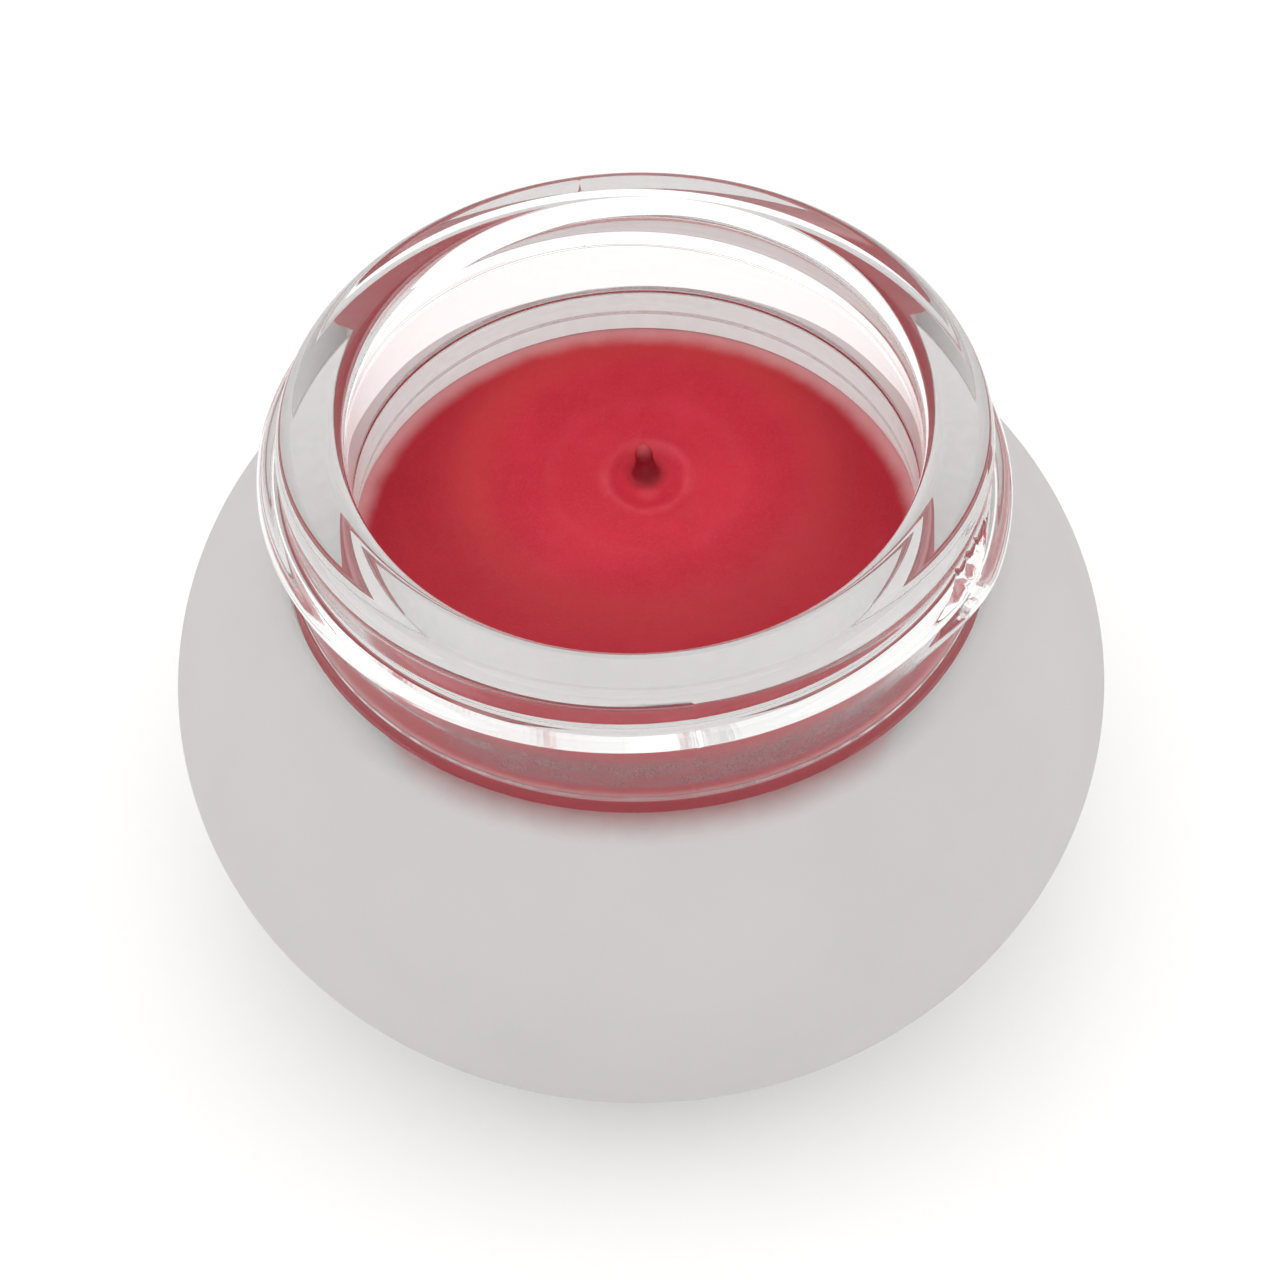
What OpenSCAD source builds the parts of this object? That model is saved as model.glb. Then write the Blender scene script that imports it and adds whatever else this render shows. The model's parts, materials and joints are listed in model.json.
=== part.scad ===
// Open glass cream jar: a squat, heavy glass body with a clear threaded neck,
// frosted below the neck and filled with a poured balm.
// Millimetres, +Z up. The origin is the middle of the ring that the jar stands on.

/* [Body] */
// Widest diameter of the body
body_d = 62; // [60:0.5:66]
// Half height of the ellipse that the body's side follows
body_half_h = 22.2; // [21.5:0.1:23]
// Height of the widest place above the standing ring
body_mid_z = 18.2; // [17.8:0.1:18.6]
// Outer diameter of the flat ring that the jar stands on
stand_d = 33.2; // [31:0.2:34]
// Width of that ring
stand_w = 2; // [1.5:0.1:2.5]
// Depth of the recess under the base
recess_h = 1.2; // [0.8:0.1:1.6]

/* [Neck] */
// Diameter of the plain neck wall, under the thread
neck_d = 44.4; // [44.2:0.1:45.2]
// Height of the rim above the standing ring
rim_z = 43.5; // [42.8:0.1:43.8]
// Bore of the neck
mouth_d = 35.8; // [35:0.2:36.4]
// Depth of the straight bore, from the rim
mouth_depth = 9.5; // [8:0.5:10]
// Radius that rounds the rim outside
rim_outer_round = 1.2; // [1:0.1:1.6]
// Radius that rounds the rim inside
rim_inner_round = 1.3; // [1:0.1:1.6]
// Height of the cove where the neck meets the shoulder
cove_h = 0.5; // [0.2:0.05:0.6]

/* [Thread] */
// Diameter over the thread
thread_d = 47.2; // [46.7:0.1:47.6]
// Rise in one turn
thread_pitch = 4.23; // [3.8:0.01:4.4]
// Width of the thread where it leaves the neck
thread_w = 1.5; // [1.3:0.1:2.2]
// Height of the middle of the upper turn, at the front
thread_front_z = 40.7; // [40:0.1:40.9]
// Where the lower end is, in degrees round the neck from +X
thread_start = -45; // [-60:5:-30]
// Whole sweep of the thread, in degrees
thread_sweep = 395; // [370:5:400]
// Part of the sweep in which each end runs out, in degrees
thread_fade = 26; // [15:1:35]

/* [Cavity] */
// Largest diameter of the cavity, below the neck
cup_d = 37.6; // [37:0.2:40]
// Thickness of the glass under the cavity
floor_t = 8; // [6:0.5:10]

/* [Frosting] */
// Thickness of the frosted coat on the body
coat_t = 0.15; // [0.1:0.05:0.3]

/* [Balm] */
// Depth of the balm's edge below the rim
fill_drop = 12; // [11.4:0.1:13]
// How far the balm's surface dips in the middle
dish_h = 0.6; // [0.3:0.1:1.2]
// Place of the tip that the filling nozzle drew up, beside the jar's axis
tip_x = 0.7; // [-2:0.1:2]
// Place of that tip behind the jar's axis
tip_y = 6.6; // [0:0.1:8]
// Height of the tip above the surface
tip_h = 2.1; // [1:0.1:2.4]
// Radius of the tip at its foot
tip_r = 0.85; // [0.5:0.05:1]
// How far the tip leans back from upright, in degrees
tip_lean = 25; // [0:5:30]
// Radius of the low ring of balm round the tip
lip_r = 2.8; // [2:0.1:4]
// How far the middle of that ring lies in front of the tip
lip_shift = 0.5; // [0:0.1:1]
// Height of that ring
lip_h = 0.2; // [0.1:0.05:0.4]

/* [Base label] */
// Diameter of the blank round label in the recess
label_d = 24; // [18:1:25]
// Thickness of the label
label_t = 0.1; // [0.1:0.05:0.3]

/* [Hidden] */
$fn = 96;

body_r = body_d / 2;
neck_r = neck_d / 2;
mouth_r = mouth_d / 2;
cup_r = cup_d / 2;
stand_r = stand_d / 2;
recess_r = stand_r - stand_w;

// The body's side is an ellipse. It leaves the rounded heel at heel_t and
// ends in the cove under the neck at shoulder_t.
heel_t = -48;
shoulder_t = acos((neck_r + cove_h) / body_r);
heel_steps = 8;
side_steps = 44;

// The cavity's wall: straight bore, a flare past the balm's edge, then the cup.
bore_end_z = rim_z - mouth_depth;
fill_z = rim_z - fill_drop;
cup_top_z = fill_z - 1.5;
cup_h = cup_top_z - floor_t;

// Thread: rings along it, points across its crest, and how far it is rooted.
thread_depth = (thread_d - neck_d) / 2;
thread_rings = 96;
crest_points = 9;
thread_root = 0.7;

// How far the solids of the tip and its ring reach down into the balm.
balm_root = 1.5;

// A point on the body's ellipse, drawn in by an inset.
function side_point(t, inset = 0) =
    [(body_r - inset) * cos(t), body_mid_z + (body_half_h - inset) * sin(t)];

// Direction of the ellipse at that point, upwards.
function side_slope(t) = [-body_r * sin(t), body_half_h * cos(t)];

// A quadratic curve from p to r that leaves p and reaches r along lines through q.
function bend(p, q, r, steps, first = 0) =
    [for (i = [first : steps]) let (u = i / steps)
        (1 - u) * (1 - u) * p + 2 * u * (1 - u) * q + u * u * r];

// Points on a circle, from angle a to angle b.
function arc(centre, radius, a, b, steps = 8) =
    [for (i = [0 : steps]) let (t = a + (b - a) * i / steps)
        centre + radius * [cos(t), sin(t)]];

// Half a cosine wave, from 0 to 1 as u goes from 0 to 1.
function ease(u) = (1 - cos(180 * u)) / 2;

function reversed(list) = [for (i = [len(list) - 1 : -1 : 0]) list[i]];

// Rounded heel: from the standing ring up to the ellipse.
function heel(inset = 0, first = 0) =
    let (top = side_point(heel_t, inset),
         dir = side_slope(heel_t),
         corner = [top.x - dir.x * top.y / dir.y, 0])
    bend([stand_r, 0], corner, top, heel_steps, first);

// The ellipse from the heel to the shoulder.
function side(inset = 0) =
    [for (i = [1 : side_steps])
        side_point(heel_t + (shoulder_t - heel_t) * i / side_steps, inset)];

// Cove from the top of the shoulder to the neck wall.
function cove(inset = 0) =
    let (foot = side_point(shoulder_t, inset),
         dir = side_slope(shoulder_t),
         corner = [neck_r, foot.y + dir.y * (neck_r - foot.x) / dir.x])
    bend(foot, corner, corner + [0, cove_h], steps = 5, first = 1);

// Rim: outer round, flat land, inner round.
function rim() = concat(
    arc([neck_r - rim_outer_round, rim_z - rim_outer_round], rim_outer_round, 0, 90),
    arc([mouth_r + rim_inner_round, rim_z - rim_inner_round], rim_inner_round, 90, 180));

// Radius of the flare below the straight bore, at a height.
function flare_r(z) =
    mouth_r + (cup_r - mouth_r) * ease((bore_end_z - z) / (bore_end_z - cup_top_z));

function flare(z_from, z_to, steps, first = 0) =
    [for (i = [first : steps]) let (z = z_from + (z_to - z_from) * i / steps)
        [flare_r(z), z]];

// Wall of the balm's space: from its edge down to the middle of the cup's rounded floor.
function cup_wall(steps = 24) = concat(
    flare(fill_z, cup_top_z, steps = 4),
    [for (i = [1 : steps]) let (t = 90 * i / steps)
        [cup_r * pow(cos(t), 0.7), cup_top_z - cup_h * pow(sin(t), 0.8)]]);

// The balm's surface, from the jar's axis out to just short of its edge.
function balm_surface(steps = 14) =
    [for (i = [0 : steps - 1]) let (u = i / steps)
        [u * flare_r(fill_z), fill_z - dish_h * (1 - pow(u, 3))]];

// Cross section of the thread's ring number i, as points in space.
function thread_ring(i) =
    let (along = thread_sweep * i / thread_rings,
         phi = thread_start + along,
         grow = ease(min(1, along / thread_fade, (thread_sweep - along) / thread_fade)),
         z = thread_front_z + thread_pitch * (phi - 270) / 360,
         depth = thread_depth * grow - 0.2 * (1 - grow),
         half_w = thread_w / 2 * (0.55 + 0.45 * grow),
         foot_r = neck_r - 0.02)
    concat(
        [for (k = [0 : crest_points - 1])
            let (t = 180 * k / (crest_points - 1),
                 r = foot_r + depth * pow(sin(t), 0.6))
            [r * cos(phi), r * sin(phi), z - half_w * cos(t)]],
        [for (s = [1, -1])
            let (r = neck_r - thread_root)
            [r * cos(phi), r * sin(phi), z + s * half_w]]);

module thread_ridge() {
    n = crest_points + 2;
    points = [for (i = [0 : thread_rings]) each thread_ring(i)];
    walls = [for (i = [0 : thread_rings - 1], k = [0 : n - 1])
        let (a = i * n + k, b = i * n + (k + 1) % n)
        each [[a, b, a + n], [b, b + n, a + n]]];
    ends = [[for (k = [n - 1 : -1 : 0]) k],
            [for (k = [0 : n - 1]) thread_rings * n + k]];
    polyhedron(points, concat(walls, ends), convexity = 6);
}

// The jar: one moulded piece of glass, with its thread.
module glass_jar() {
    recess = concat(
        [[0, recess_h]],
        bend([recess_r - 1.4, recess_h], [recess_r - 0.4, recess_h], [recess_r, 0], 6));
    color([0.86, 0.88, 0.88, 0.5])
    union() {
        rotate_extrude()
            polygon(concat(recess, heel(coat_t), side(coat_t), cove(coat_t), rim(),
                           flare(bore_end_z, fill_z, steps = 6), cup_wall()));
        thread_ridge();
    }
}

// The frosted coat: a thin skin from the foot of the heel to the foot of the neck.
module frost_coat() {
    color([0.83, 0.82, 0.81])
    rotate_extrude()
        polygon(concat(heel(0, first = 2), side(0),
                       reversed(side(coat_t)), reversed(heel(coat_t, first = 2))));
}

// The balm, with the tip that the nozzle drew up and the low ring round it.
module balm_fill() {
    surface_z = fill_z - dish_h;
    tip = concat(
        [[0, -balm_root], [tip_r, -balm_root]],
        [for (i = [0 : 5]) let (u = i / 6) [tip_r * pow(1 - u, 1.6), tip_h * u]],
        [[0, tip_h]]);
    lip = concat(
        [[lip_r + 0.8, -balm_root]],
        [for (i = [0 : 8]) let (u = i / 8)
            [lip_r + 0.8 - 1.6 * u, (lip_h + 0.05) * sin(180 * u) - 0.05]],
        [[lip_r - 0.8, -balm_root]]);
    color([0.75, 0.22, 0.28])
    union() {
        rotate_extrude()
            polygon(concat(balm_surface(), cup_wall()));
        translate([tip_x, tip_y, surface_z]) {
            rotate([-tip_lean, 0, 0]) rotate_extrude() polygon(tip);
            translate([0, -lip_shift, 0]) rotate_extrude() polygon(lip);
        }
    }
}

// Blank label in the recess under the base.
module base_label() {
    color("white")
    translate([0, 0, recess_h - label_t])
        cylinder(h = label_t, r = label_d / 2);
}

glass_jar();
frost_coat();
balm_fill();
base_label();
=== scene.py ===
import json
from math import acos, cos, pi, radians, sin

import bmesh
import bpy
import numpy as np
from mathutils import Matrix, Vector


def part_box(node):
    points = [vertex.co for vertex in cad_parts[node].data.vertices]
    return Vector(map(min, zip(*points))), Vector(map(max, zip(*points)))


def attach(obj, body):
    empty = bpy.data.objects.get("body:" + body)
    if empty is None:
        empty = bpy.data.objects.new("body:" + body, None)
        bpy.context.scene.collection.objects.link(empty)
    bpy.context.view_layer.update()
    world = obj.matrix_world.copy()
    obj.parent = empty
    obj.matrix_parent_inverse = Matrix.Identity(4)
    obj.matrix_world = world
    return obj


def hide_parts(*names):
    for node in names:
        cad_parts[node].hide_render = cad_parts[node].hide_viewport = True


MM = 0.001

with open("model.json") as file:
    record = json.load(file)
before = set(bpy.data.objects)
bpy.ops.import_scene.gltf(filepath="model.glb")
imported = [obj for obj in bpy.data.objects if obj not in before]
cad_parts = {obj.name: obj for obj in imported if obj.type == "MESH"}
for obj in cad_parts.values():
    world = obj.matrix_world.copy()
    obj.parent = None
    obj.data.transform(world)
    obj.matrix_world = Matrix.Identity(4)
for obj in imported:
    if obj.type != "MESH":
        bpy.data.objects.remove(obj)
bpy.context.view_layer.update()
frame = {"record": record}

# ---------------------------------------------------------------------------
# Sizes, in millimetres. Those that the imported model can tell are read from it.
# ---------------------------------------------------------------------------


def mount(name):
    """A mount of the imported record, by name."""
    return next(m for m in frame["record"]["mounts"] if m["name"] == name)


coat_low, coat_high = (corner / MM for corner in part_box("frost_coat"))
glass_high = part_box("glass_jar")[1] / MM
label_low, label_high = (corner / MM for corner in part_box("base_label"))

BODY_R = coat_high.x
BODY_HALF_H = 22.2
BODY_MID_Z = 18.2
STAND_R = 16.6
STAND_W = 2.0
RECESS_H = label_high.z
NECK_R = 22.2
RIM_Z = glass_high.z
MOUTH_R = mount("mouth")["dims"]["r_mm"]
BORE_END_Z = RIM_Z - 9.5
RIM_OUTER_ROUND = 1.2
RIM_INNER_ROUND = 1.3
COVE_H = 0.5
CUP_R = 18.8
FLOOR_Z = 8.0
FILL_Z = RIM_Z - 12.0
CUP_TOP_Z = FILL_Z - 1.5
COAT_T = 0.15

THREAD_DEPTH = 1.4
THREAD_W = 1.5
THREAD_PITCH = 4.23
THREAD_FRONT_Z = 40.7
THREAD_START = -45
THREAD_SWEEP = 395
THREAD_FADE = 26

# Small departures of moulded glass from its smooth section. Azimuths are
# counter-clockwise from +X, in degrees. The two halves of the mould meet at
# SEAM and opposite it, and for LEDGE_SWEEP from there one leaves a fine ledge.
SEAM = -82
SEAM_H = 0.035
SEAM_WIDTH_DEG = 0.32
LEDGE_SWEEP = 75
LEDGE_DROP = 0.62
LEDGE_H = 0.07
LEDGE_W = 0.12
BORE_WAVE = 0.035
RIM_WAVE = 0.02

# The balm's tip, which stands behind the jar's axis and leans back: its width,
# how far its end is swollen, and how far it leans for each millimetre of height.
TIP = Vector((0.7, 6.6))
TIP_H = 1.85
TIP_R = 0.66
TIP_SWELL = 0.13
TIP_LEAN = Vector((-0.10, 0.42))

# The low ring round the tip, and the hollow inside it.
LIP = Vector((0.7, 5.95))
LIP_R = 2.8
LIP_H = 0.17
LIP_W = 0.45
HOLLOW_R = 2.1
HOLLOW_H = 0.45

# The balm's surface dips in the middle and creeps up at its edge. Round the tip
# it has low swells and hollows: distance, half width and height of each.
DISH_H = 0.6
CREEP_H = 0.45
SWELLS = [(11.5, 1.7, 0.16), (8.8, 1.6, -0.14), (6.0, 0.9, 0.03)]

HEEL_T = radians(-48)
SHOULDER_T = acos((NECK_R + COVE_H) / BODY_R)


# ---------------------------------------------------------------------------
# Profiles: lists of (radius, height) in millimetres
# ---------------------------------------------------------------------------


def ease(u):
    """Half a cosine wave, from 0 to 1 as u goes from 0 to 1."""
    return (1 - np.cos(pi * np.clip(u, 0, 1))) / 2


def side_point(t, inset=0.0):
    """A point on the body's ellipse, drawn in by an inset."""
    return np.array([(BODY_R - inset) * cos(t), BODY_MID_Z + (BODY_HALF_H - inset) * sin(t)])


def side_slope(t):
    """Direction of the ellipse there, upwards."""
    return np.array([-BODY_R * sin(t), BODY_HALF_H * cos(t)])


def bend(p, q, r, steps):
    """A quadratic curve from p to r that leaves both along lines through q."""
    p, q, r = (np.asarray(v, float) for v in (p, q, r))
    along = np.linspace(0, 1, steps + 1)
    return [(1 - u) ** 2 * p + 2 * u * (1 - u) * q + u * u * r for u in along]


def arc(centre, radius, a, b, steps):
    """Points on a circle, from angle a to angle b in degrees."""
    return [
        np.array([centre[0] + radius * cos(t), centre[1] + radius * sin(t)])
        for t in np.radians(np.linspace(a, b, steps + 1))
    ]


def heel(inset, steps=12):
    top = side_point(HEEL_T, inset)
    slope = side_slope(HEEL_T)
    corner = [top[0] - slope[0] * top[1] / slope[1], 0]
    return bend([STAND_R, 0], corner, top, steps)


def side(inset, steps=72):
    return [side_point(t, inset) for t in np.linspace(HEEL_T, SHOULDER_T, steps + 1)[1:]]


def cove(inset, steps=6):
    foot = side_point(SHOULDER_T, inset)
    slope = side_slope(SHOULDER_T)
    corner = np.array([NECK_R, foot[1] + slope[1] * (NECK_R - foot[0]) / slope[0]])
    return bend(foot, corner, corner + [0, COVE_H], steps)[1:]


def flare_r(z):
    """Radius of the cavity between the straight bore and the cup."""
    return MOUTH_R + (CUP_R - MOUTH_R) * float(ease((BORE_END_Z - z) / (BORE_END_Z - CUP_TOP_Z)))


def cup_wall(steps=40):
    """From the balm's edge down to the middle of the cup's rounded floor."""
    wall = [np.array([flare_r(z), z]) for z in np.linspace(FILL_Z, CUP_TOP_Z, 7)]
    for t in np.radians(np.linspace(0, 90, steps + 1)[1:]):
        drop = (CUP_TOP_Z - FLOOR_Z) * sin(t) ** 0.8
        wall.append(np.array([CUP_R * max(cos(t), 0.0) ** 0.7, CUP_TOP_Z - drop]))
    return wall


def below_neck(inset):
    """The glass from the middle of its base, round the body, to the foot of the neck wall."""
    recess_r = STAND_R - STAND_W
    recess = bend([recess_r - 1.4, RECESS_H], [recess_r - 0.4, RECESS_H], [recess_r, 0], 6)
    return [np.array([0.0, RECESS_H])] + recess + heel(inset) + side(inset) + cove(inset)


def above_neck():
    """The glass from the top of the neck wall, over the rim, to the middle of the cup."""
    rim_low = RIM_Z - RIM_OUTER_ROUND
    return (
        arc((NECK_R - RIM_OUTER_ROUND, rim_low), RIM_OUTER_ROUND, 0, 90, 14)
        + arc((MOUTH_R + RIM_INNER_ROUND, RIM_Z - RIM_INNER_ROUND), RIM_INNER_ROUND, 90, 180, 14)
        + [np.array([MOUTH_R, z]) for z in np.linspace(RIM_Z - RIM_INNER_ROUND, BORE_END_Z, 24)[1:]]
        + [np.array([flare_r(z), z]) for z in np.linspace(BORE_END_Z, FILL_Z, 9)[1:-1]]
        + cup_wall()
    )


# ---------------------------------------------------------------------------
# Meshes
# ---------------------------------------------------------------------------


def azimuths(count, fine_at=(), half_width=0.9, fine=9):
    """Azimuths all the way round, in radians, with a few more close to each fine_at."""
    plain = np.linspace(0, 360, count, endpoint=False)
    extra = [a + d for a in fine_at for d in np.linspace(-half_width, half_width, fine)]
    return np.radians(np.unique(np.round(np.mod(np.concatenate([plain, extra]), 360), 4)))


def new_object(name, verts, faces):
    """A smooth-shaded mesh object from points in millimetres."""
    mesh = bpy.data.meshes.new(name)
    mesh.from_pydata((np.asarray(verts) * MM).tolist(), [], faces)
    mesh.validate()
    mesh.shade_smooth()
    obj = bpy.data.objects.new(name, mesh)
    bpy.context.scene.collection.objects.link(obj)
    return obj


def weld(obj):
    """Joins points that lie on each other and drops the faces that this leaves flat."""
    work = bmesh.new()
    work.from_mesh(obj.data)
    bmesh.ops.remove_doubles(work, verts=work.verts, dist=0.002 * MM)
    bmesh.ops.dissolve_degenerate(work, edges=work.edges, dist=0.0005 * MM)
    work.to_mesh(obj.data)
    work.free()


def around(r, z, phis):
    """Points at a radius, height and azimuth each."""
    return np.stack([r * np.cos(phis), r * np.sin(phis), z], -1)


def revolved(name, profile, phis):
    """A closed surface turned from a profile that starts and ends on the axis."""
    inner = profile[1:-1]
    verts = [point for r, z in inner for point in around(r, np.full_like(phis, z), phis)]
    verts += [(0, 0, profile[0][1]), (0, 0, profile[-1][1])]
    n, rows = len(phis), len(inner)
    first, last = rows * n, rows * n + 1
    faces = []
    for j in range(n):
        k = (j + 1) % n
        faces.append((first, k, j))
        faces.append((last, (rows - 1) * n + j, (rows - 1) * n + k))
        for i in range(rows - 1):
            faces.append((i * n + j, i * n + k, (i + 1) * n + k, (i + 1) * n + j))
    return new_object(name, verts, faces)


def ring(name, outline, phis):
    """A closed ring turned from a closed outline that stays off the axis."""
    outline = np.array(outline)
    n, rows = len(phis), len(outline)
    verts = [(r * cos(p), r * sin(p), z) for r, z in outline for p in phis]
    faces = []
    for i in range(rows):
        i2 = (i + 1) % rows
        for j in range(n):
            k = (j + 1) % n
            faces.append((i * n + j, i * n + k, i2 * n + k, i2 * n + j))
    return new_object(name, verts, faces)


def thread_height(phi, z):
    """How far the thread stands out of the neck at an azimuth and height."""
    out = np.zeros_like(z)
    start = radians(THREAD_START)
    for turn in range(2):
        along = np.degrees(np.mod(phi - start, 2 * pi)) + 360 * turn
        middle = THREAD_FRONT_Z + THREAD_PITCH * (THREAD_START + along - 270) / 360
        ends = np.minimum(along, THREAD_SWEEP - along) / THREAD_FADE
        grow = ease(ends) * (along <= THREAD_SWEEP)
        half_w = THREAD_W / 2 * (0.55 + 0.45 * grow)
        u = np.clip(np.abs(z - middle) / half_w, 0, 1)
        out = np.maximum(out, THREAD_DEPTH * grow * (1 - u * u) ** 0.3)
    return out


def seam_ridge(phi):
    """1 on a mould seam, falling to 0 beside it."""
    off = np.degrees(np.mod(phi - radians(SEAM) + pi / 2, pi)) - 90
    return np.exp(-((off / SEAM_WIDTH_DEG) ** 2))


def waviness(phi, z):
    """A slow, smooth unevenness of moulded glass, from -1 to 1."""
    return (
        0.5 * np.sin(2 * phi + 0.9)
        + 0.3 * np.sin(5 * phi + 0.7 * z)
        + 0.2 * np.sin(9 * phi - 0.5 * z + 2.0)
    )


def glass_shift(r, z, phi):
    """Thread, mould seams and the glass's unevenness, as moves of the smooth section."""
    outer_neck = (r > NECK_R - RIM_OUTER_ROUND - 0.01) & (z > 34)
    wall = outer_neck & (z < RIM_Z - RIM_OUTER_ROUND + 0.01)
    dr = np.where(wall, thread_height(phi, z), 0)
    dr += np.where(outer_neck, SEAM_H * seam_ridge(phi) * ease((RIM_Z - z) / 0.5), 0)
    has_ledge = np.mod(phi - radians(SEAM), 2 * pi) < radians(LEDGE_SWEEP)
    ledge = np.exp(-(((z - (RIM_Z - LEDGE_DROP)) / LEDGE_W) ** 2))
    dr += np.where(outer_neck & has_ledge, LEDGE_H * ledge, 0)
    inside = (r < MOUTH_R + 1) & (z > FILL_Z)
    dr += np.where(inside, BORE_WAVE * waviness(phi, z) * ease((RIM_Z - 1.5 - z) / 3), 0)
    # The rim's top wavers just under its full height.
    dz = np.where(z > RIM_Z - 0.6, RIM_WAVE * (waviness(phi, 0 * z) - 1), 0)
    return dr, dz


def lathe_rows(profile, phis):
    """Rows of points turned from a profile, after the moves of glass_shift."""
    rows = []
    for r, z in profile:
        ring_r, ring_z = np.full_like(phis, r), np.full_like(phis, z)
        dr, dz = glass_shift(ring_r, ring_z, phis)
        rows.append(around(ring_r + dr, ring_z + dz, phis))
    return rows


def neck_rows(phis, z_low, z_high):
    """Rows that climb the neck wall beside the thread, held between its foot and its top.
    One turn further on, each row meets the one that is a whole pitch above it."""
    across = THREAD_W / 2 * np.cos(np.linspace(pi, 0, 17))
    beside = THREAD_W / 2 + 0.04
    steps = np.concatenate([[-beside], across, [beside, 1.1, 1.5, 1.9, 2.3, 2.7, 3.1]])
    turn = np.mod(phis - radians(THREAD_START), 2 * pi) / (2 * pi)
    start_z = THREAD_FRONT_Z + THREAD_PITCH * (THREAD_START - 270) / 360
    rows = []
    for period in range(-3, 4):
        for step in steps:
            z = np.clip(start_z + THREAD_PITCH * (turn + period) + step, z_low, z_high)
            r = np.full_like(z, NECK_R)
            dr, _ = glass_shift(r, z, phis)
            rows.append(around(r + dr, z, phis))
    return rows, len(steps)


def make_glass():
    """The jar as one closed surface: body, neck wall with its thread, rim and cavity."""
    phis = azimuths(360, (SEAM, SEAM + 180))
    phis = np.roll(phis, -int(np.argmax(phis >= radians(THREAD_START) % (2 * pi))))
    low, high = below_neck(COAT_T), above_neck()
    n = len(phis)
    verts, faces = [], []

    def add(rows, shift=0):
        """Joins rows into quads. The last column meets the first, shift rows further up."""
        base = len(verts)
        verts.extend(np.concatenate(rows).tolist())
        for i in range(len(rows) - 1):
            for j in range(n - 1):
                a = base + i * n + j
                faces.append((a, a + 1, a + n + 1, a + n))
        for i in range(len(rows) - 1 - shift):
            a, b = base + i * n + n - 1, base + (i + shift) * n
            faces.append((a, b, b + n, a + n))
        return base

    foot = add(lathe_rows(low[1:], phis))
    verts.append((0, 0, low[0][1]))
    faces.extend((len(verts) - 1, foot + (j + 1) % n, foot + j) for j in range(n))
    rows, period = neck_rows(phis, low[-1][1], high[0][1])
    add(rows, period)
    top = add(lathe_rows(high[:-1], phis)) + (len(high) - 2) * n
    verts.append((0, 0, high[-1][1]))
    faces.extend((len(verts) - 1, top + j, top + (j + 1) % n) for j in range(n))
    glass = new_object("jar_glass", verts, faces)
    weld(glass)
    count = len(glass.data.polygons)
    centres = np.empty(count * 3)
    glass.data.polygons.foreach_get("center", centres)
    x, y, z = centres.reshape(-1, 3).T / MM
    # The coat lies on the faces next to the body's ellipse, where level is 1.
    level = (x**2 + y**2) / BODY_R**2 + ((z - BODY_MID_Z) / BODY_HALF_H) ** 2
    coated = (level > 0.9) & (z > coat_low.z) & (z < side_point(SHOULDER_T, COAT_T)[1])
    glass.data.materials.append(clear_glass_material())
    glass.data.materials.append(coated_glass_material("coated_glass"))
    glass.data.polygons.foreach_set("material_index", coated.astype(np.int32))
    return glass


def make_coat():
    gap = 0.03
    outer = heel(0.0)[2:] + side(0.0)
    inner = heel(COAT_T - gap)[2:] + side(COAT_T - gap)
    phis = azimuths(256)
    coat = ring("frosted_coat", outer + inner[::-1], phis)
    coat.data.materials.append(coat_material())
    coat.data.materials.append(coated_glass_material("coat_inside"))
    row = np.repeat(np.arange(len(outer) + len(inner)), len(phis))
    coat.data.polygons.foreach_set("material_index", (row >= len(outer)).astype(np.int32))
    return coat


def balm_height(x, y):
    """Height of the balm's surface above the level of its edge, in millimetres."""
    rho = np.hypot(x, y) / flare_r(FILL_Z)
    d = np.hypot(x - TIP.x, y - TIP.y)
    height = -DISH_H * (1 - rho**3)
    height += CREEP_H * np.exp(-(1 - rho) * flare_r(FILL_Z) / CREEP_H)
    for middle, half_width, swell in SWELLS:
        height += swell * np.exp(-(((d - middle) / half_width) ** 2))
    # The low ring is a little longer from front to back than it is wide.
    lip_d = np.hypot((x - LIP.x) * 1.08, (y - LIP.y) * 0.90)
    height += LIP_H * np.exp(-(((lip_d - LIP_R) / LIP_W) ** 2))
    height -= HOLLOW_H * np.exp(-((lip_d / HOLLOW_R) ** 4))
    return height


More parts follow.
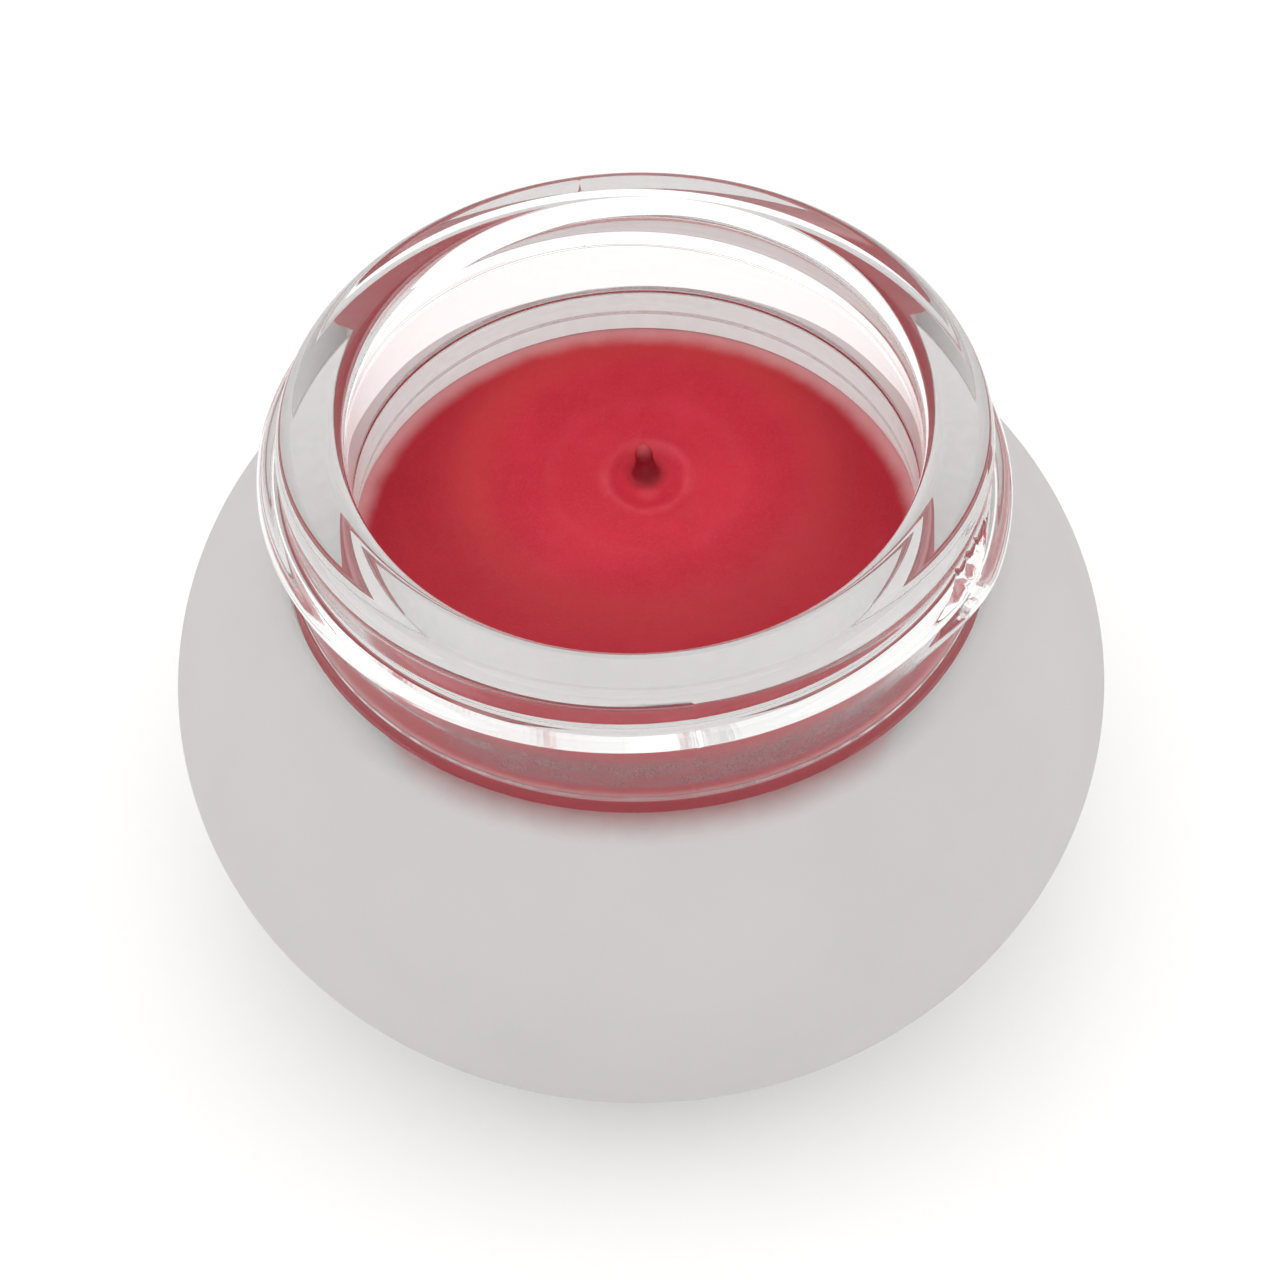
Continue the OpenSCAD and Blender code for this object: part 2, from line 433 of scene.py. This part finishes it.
def make_balm():
    """The balm's surface as rings round the tip, which widen to the cup's wall."""
    n, rings, near = 288, 150, 6.0
    alpha = np.linspace(0, 2 * pi, n, endpoint=False)
    ux, uy = np.cos(alpha), np.sin(alpha)
    wall_r = flare_r(FILL_Z)
    along = TIP.x * ux + TIP.y * uy
    reach = -along + np.sqrt(along**2 - TIP.length_squared + wall_r**2)
    verts = []
    for t in np.linspace(0, 1, rings + 1)[1:]:
        d = near * t + (reach - near) * t**3
        x, y = TIP.x + d * ux, TIP.y + d * uy
        z = FILL_Z + balm_height(x, y)
        # The tip: a small peg with a blunt, slightly swollen end, which leans back.
        part = np.exp(-((d / TIP_R) ** 3.4))
        rise = TIP_H * part
        swell = TIP_SWELL * np.exp(-(((part - 0.78) / 0.16) ** 2))
        x, y = x + swell * ux + TIP_LEAN.x * rise, y + swell * uy + TIP_LEAN.y * rise
        verts += np.stack([x, y, z + rise], axis=-1).tolist()
    centre_z = FILL_Z + float(balm_height(np.array(TIP.x), np.array(TIP.y))) + TIP_H
    phi = np.arctan2(TIP.y + reach * uy, TIP.x + reach * ux)
    wall = cup_wall()
    overlap = 0.06
    for r, z in wall[1:-1]:
        verts += [((r + overlap) * cos(p), (r + overlap) * sin(p), z) for p in phi]
    rows = rings + len(wall) - 2
    first, last = rows * n, rows * n + 1
    end = TIP + TIP_LEAN * TIP_H
    verts += [(end.x, end.y, centre_z), (0, 0, wall[-1][1] - overlap)]
    faces = []
    for j in range(n):
        k = (j + 1) % n
        faces.append((first, j, k))
        faces.append((last, (rows - 1) * n + k, (rows - 1) * n + j))
        for i in range(rows - 1):
            faces.append((i * n + j, (i + 1) * n + j, (i + 1) * n + k, i * n + k))
    return new_object("balm", verts, faces)


def make_label():
    """A disc of paper with a rounded edge."""
    r, low, high = label_high.x, label_low.z, label_high.z
    edge = arc((r - 0.05, (low + high) / 2), (high - low) / 2, -90, 90, 6)
    profile = [np.array([0, low])] + edge + [np.array([0, high])]
    return revolved("base_label_paper", profile, azimuths(96))


# ---------------------------------------------------------------------------
# Materials
# ---------------------------------------------------------------------------


class Nodes:
    """A short way to write a material's node tree."""

    def __init__(self, name):
        self.material = bpy.data.materials.new(name)
        self.material.use_nodes = True
        self.tree = self.material.node_tree
        self.tree.nodes.clear()
        self.output = self.tree.nodes.new("ShaderNodeOutputMaterial")
        self.position = self.add("TexCoord").outputs["Object"]

    def add(self, kind, **settings):
        node = self.tree.nodes.new("ShaderNode" + kind)
        for key, value in settings.items():
            setattr(node, key, value)
        return node

    def link(self, source, target):
        self.tree.links.new(source, target)

    def put(self, value, target):
        """Sets an input to a value, or links it to an output."""
        if isinstance(value, bpy.types.NodeSocket):
            self.link(value, target)
        else:
            target.default_value = value

    def math(self, operation, a, b=0.0, clamp=False):
        node = self.add("Math", operation=operation, use_clamp=clamp)
        self.put(a, node.inputs[0])
        self.put(b, node.inputs[1])
        return node.outputs[0]

    def noise(self, scale, detail=3.0, roughness=0.55, stretch=(1, 1, 1)):
        """Noise with a scale per metre, from 0 to 1."""
        mapping = self.add("Mapping")
        mapping.inputs["Scale"].default_value = stretch
        self.link(self.position, mapping.inputs["Vector"])
        node = self.add("TexNoise")
        node.inputs["Scale"].default_value = scale
        node.inputs["Detail"].default_value = detail
        node.inputs["Roughness"].default_value = roughness
        self.link(mapping.outputs[0], node.inputs["Vector"])
        return node.outputs["Fac"]

    def remap(self, value, from_low, from_high, to_low=0.0, to_high=1.0, smooth=True):
        node = self.add("MapRange", interpolation_type="SMOOTHSTEP" if smooth else "LINEAR")
        for socket, number in zip(node.inputs[1:5], (from_low, from_high, to_low, to_high)):
            self.put(number, socket)
        self.put(value, node.inputs[0])
        return node.outputs[0]

    def band(self, value, middle, half_width):
        """1 where a value is at the middle, falling to 0 on both sides."""
        off = self.math("ABSOLUTE", self.math("SUBTRACT", value, middle))
        return self.remap(off, half_width, 0.0)

    def mix(self, factor, a, b):
        """A colour between a and b."""
        node = self.add("Mix", data_type="RGBA")
        self.put(factor, node.inputs[0])
        self.put(a, node.inputs[6])
        self.put(b, node.inputs[7])
        return node.outputs[2]

    def principled(self, colour, roughness):
        """A Principled shader with a colour and a roughness."""
        node = self.add("BsdfPrincipled")
        self.put(colour, node.inputs["Base Color"])
        self.put(roughness, node.inputs["Roughness"])
        return node

    def bump(self, height, distance, strength=1.0):
        node = self.add("Bump")
        node.inputs["Strength"].default_value = strength
        node.inputs["Distance"].default_value = distance
        self.link(height, node.inputs["Height"])
        return node.outputs[0]

    def height_mm(self):
        """Height above the standing ring, in millimetres."""
        split = self.add("SeparateXYZ")
        self.link(self.position, split.inputs[0])
        return self.math("DIVIDE", split.outputs["Z"], MM)

    def front_angle(self):
        """Azimuth from the front, to the right, in degrees."""
        split = self.add("SeparateXYZ")
        self.link(self.position, split.inputs[0])
        back = self.math("MULTIPLY", split.outputs["Y"], -1.0)
        return self.math("DEGREES", self.math("ARCTAN2", split.outputs["X"], back))

    def radius_mm(self):
        """Distance from the jar's axis, in millimetres."""
        return self.distance_mm(0, 0)

    def distance_mm(self, x, y):
        """Distance from an upright line through (x, y), in millimetres."""
        flat = self.add("VectorMath", operation="MULTIPLY_ADD")
        self.link(self.position, flat.inputs[0])
        flat.inputs[1].default_value = (1 / MM, 1 / MM, 0)
        flat.inputs[2].default_value = (-x, -y, 0)
        length = self.add("VectorMath", operation="LENGTH")
        self.link(flat.outputs[0], length.inputs[0])
        return length.outputs["Value"]


def rgb(r, g, b):
    return (r, g, b, 1.0)


def frosting(m, back_low, back_high, through_share):
    """The diffusing body of the frosting: part of the light comes back, part goes through."""
    cloud = m.remap(m.noise(60, 3), 0.3, 0.7)
    colour = m.mix(cloud, rgb(*back_low), rgb(*back_high))
    front = m.principled(colour, m.remap(m.noise(900, 3), 0.3, 0.7, 0.5, 0.62))
    front.inputs["Specular IOR Level"].default_value = 0.25
    m.link(m.bump(m.noise(9000, 2), 0.000006, 0.25), front.inputs["Normal"])
    through = m.add("BsdfTranslucent")
    m.link(m.mix(cloud, rgb(0.93, 0.925, 0.92), rgb(0.96, 0.955, 0.95)), through.inputs["Color"])
    body = m.add("MixShader")
    body.inputs[0].default_value = through_share
    m.link(front.outputs[0], body.inputs[1])
    m.link(through.outputs[0], body.inputs[2])
    return body.outputs[0]


def veil(m, share, shader):
    """Lets the light straight through where the share is below 1."""
    clear = m.add("BsdfTransparent")
    whole = m.add("MixShader")
    m.link(share, whole.inputs[0])
    m.link(clear.outputs[0], whole.inputs[1])
    m.link(shader, whole.inputs[2])
    m.link(whole.outputs[0], m.output.inputs["Surface"])


def clear_glass_material():
    m = Nodes("clear_glass")
    shader = m.add("BsdfPrincipled")
    shader.inputs["Base Color"].default_value = rgb(0.985, 0.99, 0.988)
    shader.inputs["IOR"].default_value = 1.5
    shader.inputs["Transmission Weight"].default_value = 1.0
    z = m.height_mm()
    # Stray frosting dusts the foot of the neck, mostly at the front.
    foot = m.math("MULTIPLY", m.remap(z, 34.9, 35.6), m.remap(z, 38.6, 37.2))
    angle = m.front_angle()
    front = m.math("MULTIPLY", m.remap(angle, -40, -22), m.remap(angle, 55, 38))
    outside = m.math("MULTIPLY", m.remap(m.radius_mm(), 20.5, 21.0), front)
    place = m.math("MULTIPLY", foot, outside)
    specks = m.remap(m.noise(9000, 3, 0.65), 0.40, 0.60, 0.45, 1.0)
    patches = m.remap(m.noise(500, 4, 0.6), 0.34, 0.62, 0.66, 1.0)
    dusted = m.math("MULTIPLY", m.math("MULTIPLY", place, specks), patches)
    m.link(m.math("ADD", m.math("MULTIPLY", dusted, 0.3), 0.012), shader.inputs["Roughness"])
    smooth = m.math("MULTIPLY", m.noise(160, 2), 0.35)
    grain = m.math("MULTIPLY", m.noise(7500, 2), place)
    m.link(m.bump(m.math("ADD", grain, smooth), 0.00002), shader.inputs["Normal"])
    # A painted highlight along the crease at the neck's foot: a pale band, brighter at the sides
    # than at the front.
    crease_highlight = m.math("MULTIPLY", m.remap(z, 33.86, 34.02), m.remap(z, 34.32, 34.14))
    crease_highlight = m.math("MULTIPLY", crease_highlight, m.remap(m.noise(900, 3), 0.3, 0.6, 0.45, 0.8))
    aside = m.math("ABSOLUTE", angle)
    crease_highlight = m.math("MULTIPLY", crease_highlight, m.remap(aside, 8, 50, 0.5, 1.0))
    powder = m.mix(m.noise(5200, 3), rgb(0.05, 0.035, 0.04), rgb(0.32, 0.285, 0.30))
    # This shader carries both the dust specks and the painted crease highlight.
    dust_and_highlight = m.principled(m.mix(crease_highlight, powder, rgb(0.85, 0.83, 0.83)), 0.75)
    both = m.add("MixShader")
    m.link(m.math("MAXIMUM", m.math("MULTIPLY", dusted, 0.62), crease_highlight), both.inputs[0])
    m.link(shader.outputs[0], both.inputs[1])
    m.link(dust_and_highlight.outputs[0], both.inputs[2])
    m.link(both.outputs[0], m.output.inputs["Surface"])
    return m.material


def coated_glass_material(name):
    """Where glass and coat touch: light passes nearly unbent, with a little haze."""
    m = Nodes(name)
    share = m.remap(m.noise(700, 3), 0.3, 0.7, 0.03, 0.07)
    share = m.math("MULTIPLY", share, m.remap(m.height_mm(), 33.6, 31.6))
    veil(m, share, frosting(m, (0.84, 0.84, 0.83), (0.88, 0.88, 0.87), 0.5))
    return m.material


def coat_material():
    m = Nodes("frosted_coat")
    edge = m.math("ADD", m.height_mm(), m.math("MULTIPLY", m.noise(420, 4), 0.3))
    # The frosting thins out towards its top, most of all at the front.
    thinnest = m.remap(m.math("ABSOLUTE", m.front_angle()), 28, 66, 0.26, 0.8)
    share = m.remap(edge, 33.8, 32.1, thinnest, 1.0)
    veil(m, share, frosting(m, (0.72, 0.775, 0.77), (0.75, 0.805, 0.80), 0.53))
    return m.material


def balm_material():
    m = Nodes("balm")
    mottle = m.remap(m.noise(240, 5, 0.6), 0.3, 0.7)
    mottled = m.mix(mottle, rgb(0.52, 0.012, 0.030), rgb(0.58, 0.018, 0.040))
    grain = m.remap(m.noise(5200, 2), 0.45, 0.75, 0.0, 0.35)
    grains = m.mix(grain, mottled, rgb(0.56, 0.040, 0.062))
    # Painted shade: darker towards the front and the sides, and darkest round the tip's foot.
    painted_edge_shade = m.math("MULTIPLY", m.remap(m.distance_mm(0, 8.0), 7.0, 15.0), 0.58)
    painted_tip_shade = m.remap(m.distance_mm(TIP.x, TIP.y - 0.1), 1.6, 0.5, 0.0, 0.95)
    # Painted highlights: lighter on the low ring round the tip, faintly at 6.4 mm from its centre,
    # and in a small spot in front of the tip.
    d = m.distance_mm(LIP.x, LIP.y)
    patchy = m.remap(m.noise(420, 2), 0.35, 0.65, 0.35, 1.0)
    lip_highlight = m.math("MULTIPLY", m.math("MULTIPLY", m.band(d, LIP_R, 0.7), patchy), 0.22)
    painted_ring_highlight = m.math("MAXIMUM", lip_highlight, m.math("MULTIPLY", m.band(d, 6.4, 0.9), 0.04))
    painted_ring_highlight = m.math("MAXIMUM", painted_ring_highlight, m.remap(m.distance_mm(TIP.x, 4.9), 1.0, 0.2, 0.0, 0.16))
    ringed = m.mix(painted_ring_highlight, grains, rgb(0.74, 0.13, 0.15))
    # Painted highlight: a lighter, more orange band on the outer swell, about 12 mm from the low
    # ring's centre.
    warm_highlight = m.math("MULTIPLY", m.band(d, 12.0, 3.0), 0.55)
    ringed = m.mix(warm_highlight, ringed, rgb(0.62, 0.052, 0.050))
    # The balm's colour with painted shade and painted highlights mixed in.
    with_painted_light = m.mix(painted_edge_shade, ringed, rgb(0.30, 0.004, 0.014))
    with_painted_light = m.mix(painted_tip_shade, with_painted_light, rgb(0.20, 0.003, 0.010))
    # Painted highlight: the tip's end is lighter.
    end = m.remap(m.height_mm(), FILL_Z + 0.45, FILL_Z + 0.85, 0.0, 0.3)
    with_painted_light = m.mix(end, with_painted_light, rgb(0.80, 0.16, 0.18))
    rim = m.math("ADD", m.radius_mm(), m.math("MULTIPLY", m.noise(500, 4), 0.5))
    film = m.math("MULTIPLY", m.remap(rim, 17.3, 18.7), m.remap(m.height_mm(), 30.9, 31.3))
    colour = m.mix(m.math("MULTIPLY", film, 0.6), with_painted_light, rgb(0.80, 0.44, 0.45))
    shader = m.principled(colour, m.remap(m.noise(700, 4), 0.3, 0.7, 0.38, 0.50))
    shader.inputs["Specular IOR Level"].default_value = 0.22
    shader.inputs["Subsurface Weight"].default_value = 0.12
    shader.inputs["Subsurface Radius"].default_value = (1.0, 0.2, 0.15)
    shader.inputs["Subsurface Scale"].default_value = 0.0006
    fine = m.math("MULTIPLY", m.noise(6500, 3), 0.5)
    m.link(m.bump(m.math("ADD", m.noise(1500, 4), fine), 0.00006), shader.inputs["Normal"])
    m.link(shader.outputs[0], m.output.inputs["Surface"])
    return m.material


def label_material():
    m = Nodes("label_paper")
    colour = m.mix(m.noise(900, 5), rgb(0.80, 0.80, 0.78), rgb(0.88, 0.88, 0.87))
    shader = m.principled(colour, m.remap(m.noise(2500, 3), 0.3, 0.7, 0.6, 0.8))
    m.link(m.bump(m.noise(4000, 4), 0.00002), shader.inputs["Normal"])
    m.link(shader.outputs[0], m.output.inputs["Surface"])
    return m.material


def floor_material():
    m = Nodes("pale_floor")
    colour = m.mix(m.noise(8, 2), rgb(0.93, 0.93, 0.93), rgb(0.95, 0.95, 0.95))
    shader = m.principled(colour, 0.9)
    shader.inputs["Specular IOR Level"].default_value = 0.1
    m.link(shader.outputs[0], m.output.inputs["Surface"])
    return m.material


# ---------------------------------------------------------------------------
# The object
# ---------------------------------------------------------------------------


def fit_out(piece, node, material=None):
    """Gives a piece its material and its body, and hides the CAD node that it stands for."""
    if material is not None:
        piece.data.materials.append(material)
    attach(piece, "root")
    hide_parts(node)


fit_out(make_glass(), "glass_jar")
fit_out(make_coat(), "frost_coat")
fit_out(make_balm(), "balm_fill", balm_material())
fit_out(make_label(), "base_label", label_material())


# ---------------------------------------------------------------------------
# Floor, light and camera
# ---------------------------------------------------------------------------


def make_floor():
    half = 3.0
    mesh = bpy.data.meshes.new("floor")
    corners = [(-half, -half, 0), (half, -half, 0), (half, half, 0), (-half, half, 0)]
    mesh.from_pydata(corners, [], [(0, 1, 2, 3)])
    mesh.materials.append(floor_material())
    floor = bpy.data.objects.new("floor", mesh)
    bpy.context.scene.collection.objects.link(floor)


def make_world():
    """Even white light from all round."""
    world = bpy.data.worlds.new("studio")
    world.use_nodes = True
    background = world.node_tree.nodes["Background"]
    background.inputs["Color"].default_value = rgb(1.0, 0.995, 0.985)
    background.inputs["Strength"].default_value = 0.98
    bpy.context.scene.world = world


def area_light(name, place, size, watts):
    """A round lamp, in metres and watts, that points at the jar."""
    light = bpy.data.lights.new(name, "AREA")
    light.shape = "DISK"
    light.size = size
    light.energy = watts
    lamp = bpy.data.objects.new(name, light)
    lamp.location = place
    aim = Vector((0, 0, 0.03))
    lamp.rotation_euler = (aim - Vector(place)).to_track_quat("-Z", "Y").to_euler()
    bpy.context.scene.collection.objects.link(lamp)


def make_camera():
    """Looks down on the jar from the front, with the jar leaning very slightly to the left."""
    distance, elevation, lean = 224.7, radians(52.08), radians(-1.46)
    aim = Vector((0, 0, BODY_MID_Z + 3.1))
    place = Vector((0, -distance * cos(elevation), BODY_MID_Z + distance * sin(elevation)))
    data = bpy.data.cameras.new("camera")
    data.sensor_width = 36
    data.lens = 93.8
    data.clip_start = 0.01
    camera = bpy.data.objects.new("camera", data)
    look = (aim - place).to_track_quat("-Z", "Y").to_matrix().to_4x4()
    roll = Matrix.Rotation(lean, 4, "Z")
    camera.matrix_world = Matrix.Translation(place * MM) @ look @ roll
    bpy.context.scene.collection.objects.link(camera)
    bpy.context.scene.camera = camera


make_floor()
make_world()
area_light("key", (-0.05, -0.2, 1.1), 0.9, 1.4)
area_light("back", (0, 0.8, 0.9), 0.6, 0.6)
area_light("left", (-0.9, -0.1, 0.6), 0.8, 1.4)
area_light("right", (0.9, -0.1, 0.6), 0.8, 1.4)
make_camera()
bpy.context.scene.view_settings.view_transform = "Standard"
# Blender's usual limits, 4 reflections and 12 bounces, leave a dark patch on the thread.
cycles = bpy.context.scene.cycles
cycles.max_bounces = cycles.transmission_bounces = cycles.glossy_bounces = 40
